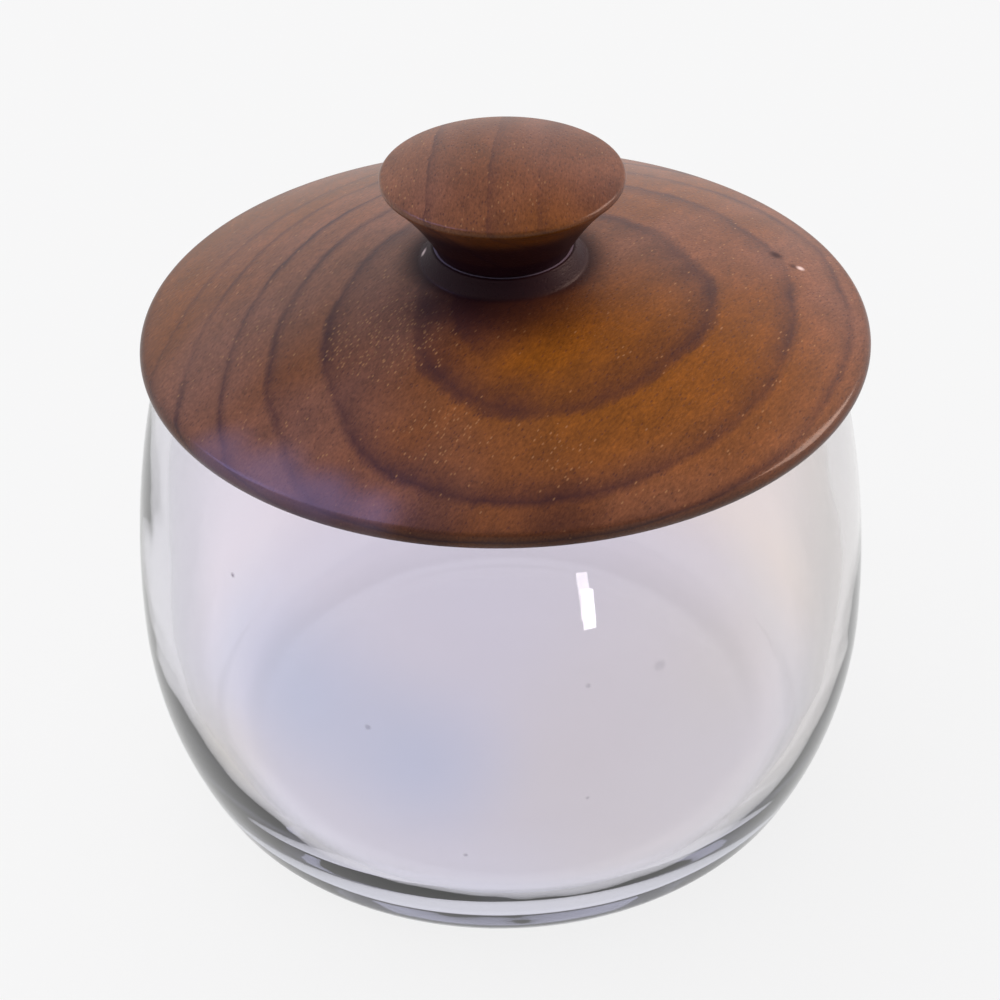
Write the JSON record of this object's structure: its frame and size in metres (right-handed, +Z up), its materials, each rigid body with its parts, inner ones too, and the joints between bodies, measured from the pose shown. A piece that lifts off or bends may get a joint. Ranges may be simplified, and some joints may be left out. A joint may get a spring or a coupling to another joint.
{
  "type": "glass canister with a wooden lid",
  "caption": "Round-bellied clear glass canister on a thick flat base, with a domed turned walnut lid resting on its mouth and a flared walnut knob on the lid.",
  "frame": {"origin": "centre of the jar's resting face, on the jar's axis", "axes": "+Z up along the jar's axis towards the knob; +X towards the side that the loose lid lies nearer to; +Y away from the viewer"},
  "size_m": [0.139, 0.139, 0.1323],
  "materials": {
    "clear_glass": "smooth, polished, faintly lavender clear glass",
    "walnut": "turned, sanded and oiled to a satin sheen, with open pores and dark growth rings"
  },
  "bodies": {
    "root": {"jar": "clear_glass", "lid": "walnut", "knob": "walnut"}
  },
  "joints": []
}
